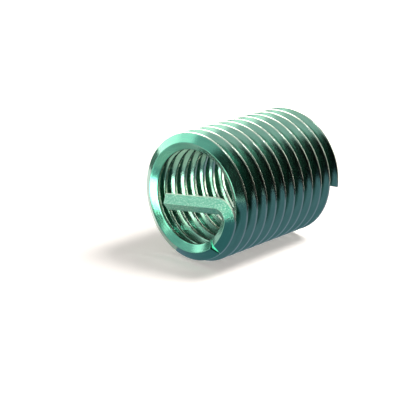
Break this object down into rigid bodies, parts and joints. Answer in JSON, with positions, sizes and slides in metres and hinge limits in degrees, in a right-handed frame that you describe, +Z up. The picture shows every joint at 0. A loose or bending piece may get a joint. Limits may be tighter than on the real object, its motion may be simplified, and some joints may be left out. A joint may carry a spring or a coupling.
{
  "type": "helical thread insert",
  "caption": "Helical wire thread insert of green-coated stainless wire, diamond in section, wound into a coil with a driving tang bent across one end",
  "frame": {"origin": "on the coil's axis, level with the farthest edge of the wire at the cut end, where a screw goes in", "axes": "+Y along the coil's axis, from the tang end to the cut end; +Z up, with the coil lying on its side and the tang across it, nearly level; +X to the right as the tang end is seen"},
  "size_m": [0.019, 0.0245, 0.019],
  "materials": {
    "coated_wire": "satin green film on rolled stainless wire"
  },
  "bodies": {
    "root": {"wire_insert": "coated_wire"}
  },
  "joints": []
}
